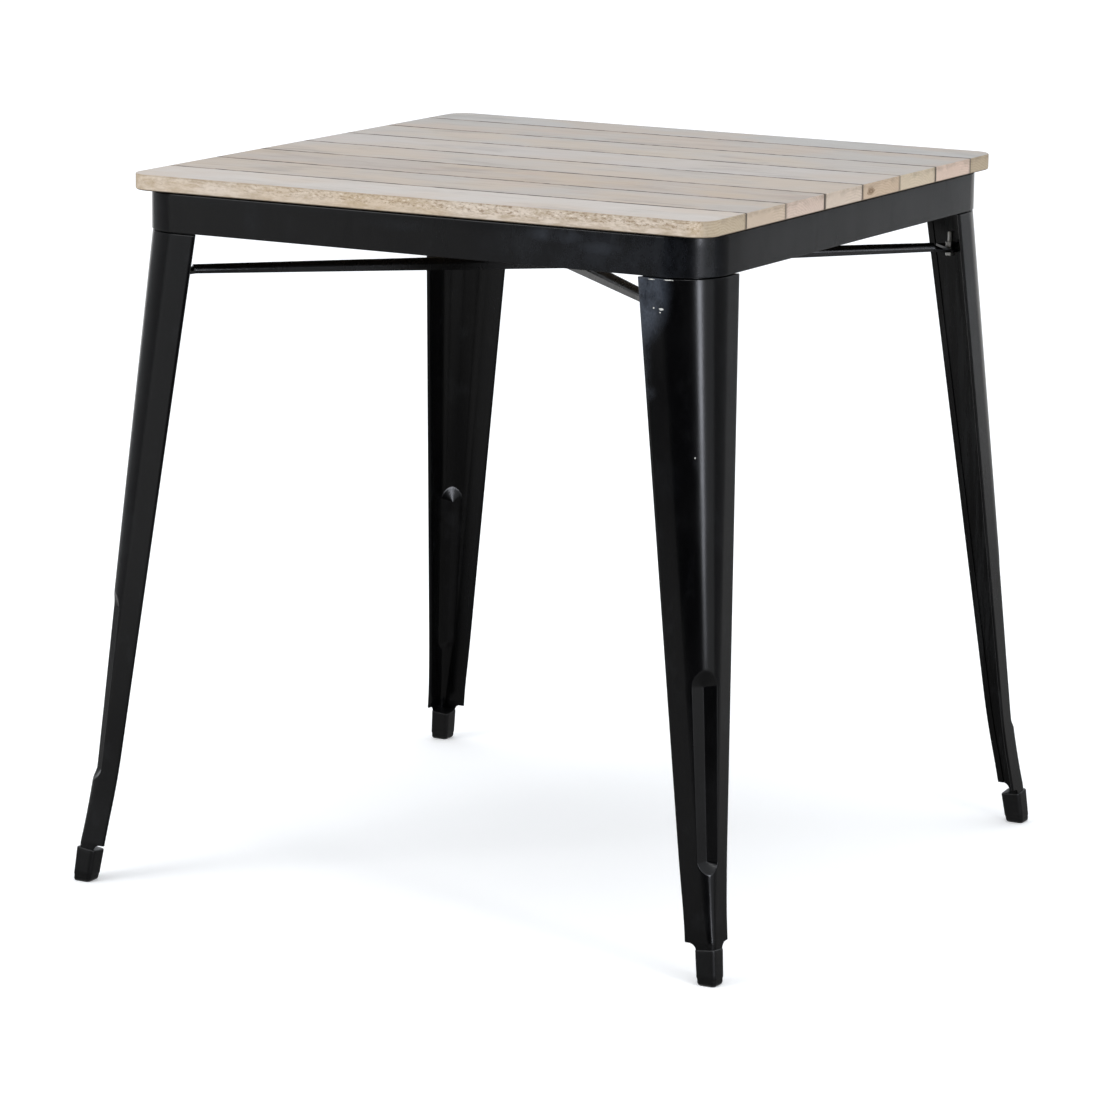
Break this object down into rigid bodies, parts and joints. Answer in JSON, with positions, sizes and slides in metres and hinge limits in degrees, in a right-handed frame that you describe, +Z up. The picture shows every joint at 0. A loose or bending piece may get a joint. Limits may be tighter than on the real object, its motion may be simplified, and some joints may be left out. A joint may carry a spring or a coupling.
{
  "type": "bistro table",
  "caption": "Square bistro table: plank top on a rounded pressed-steel apron, splayed folded-steel legs with grooved corners, cross brace and rubber foot caps.",
  "frame": {"origin": "on the floor under the middle of the table top", "axes": "+Z up; +X along the planks; +Y across the planks, from the front edge (wider outer plank) to the rear edge (narrower outer plank)"},
  "size_m": [0.76, 0.76, 0.745],
  "materials": {
    "top_wood": "grey-washed, matt lacquer, fine grain along the planks",
    "frame_steel": "satin black paint",
    "foot_rubber": "moulded black rubber",
    "bolt_steel": "zinc plated",
    "screw_steel": "plated"
  },
  "bodies": {
    "root": {"plank_1": "top_wood", "plank_2": "top_wood", "plank_3": "top_wood", "plank_4": "top_wood", "plank_5": "top_wood", "plank_6": "top_wood", "plank_7": "top_wood", "plank_8": "top_wood", "apron_frame": "frame_steel", "leg_front_left": "frame_steel", "leg_front_right": "frame_steel", "leg_rear_right": "frame_steel", "leg_rear_left": "frame_steel", "foot_cap_front_left": "foot_rubber", "foot_cap_front_right": "foot_rubber", "foot_cap_rear_right": "foot_rubber", "foot_cap_rear_left": "foot_rubber", "brace_bracket_front_left": "frame_steel", "brace_bracket_front_right": "frame_steel", "brace_bracket_rear_right": "frame_steel", "brace_bracket_rear_left": "frame_steel", "cross_brace": "frame_steel", "brace_bolts": "bolt_steel", "brace_nuts": "bolt_steel", "leg_bolts": "bolt_steel", "plank_screws": "screw_steel"}
  },
  "joints": []
}
